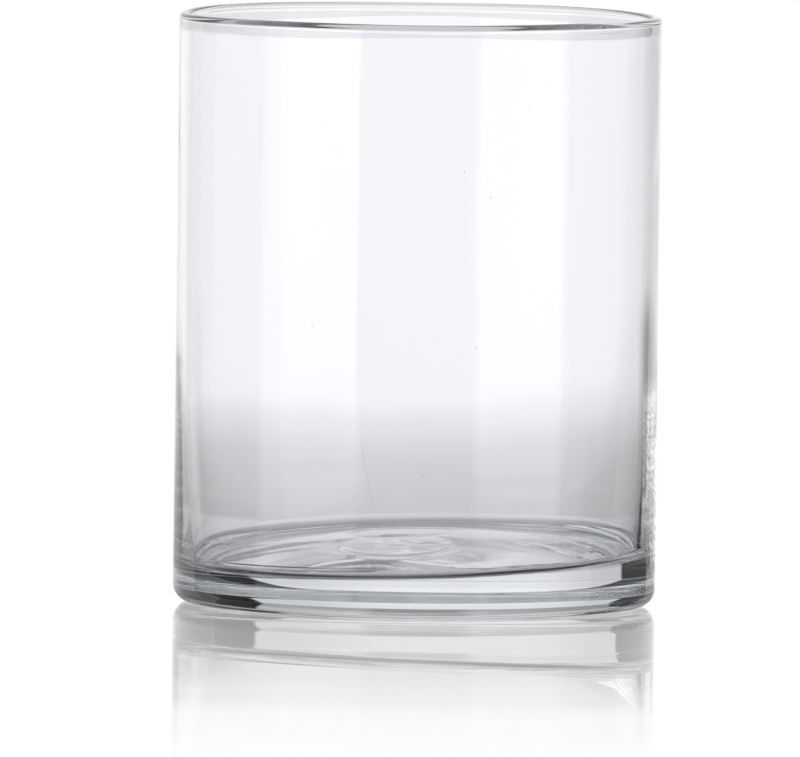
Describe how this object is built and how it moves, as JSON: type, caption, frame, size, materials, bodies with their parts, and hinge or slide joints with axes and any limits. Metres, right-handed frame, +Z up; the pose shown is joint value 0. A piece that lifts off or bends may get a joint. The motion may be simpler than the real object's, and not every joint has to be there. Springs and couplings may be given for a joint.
{
  "type": "glass cylinder vase",
  "caption": "Straight-sided clear glass cylinder vase with an open mouth, a fire-polished rim, a rounded heel and a heavy uneven base, for holding cut stems and water.",
  "frame": {"origin": "centre of the foot, on the table that the vase stands on", "axes": "+Z up through the mouth, -Y the front, +X the right-hand side; the base is thickest at the back on the right"},
  "size_m": [0.1242, 0.1242, 0.1524],
  "materials": {
    "clear_glass": "gloss"
  },
  "bodies": {
    "root": {"glass_vase": "clear_glass"}
  },
  "joints": []
}
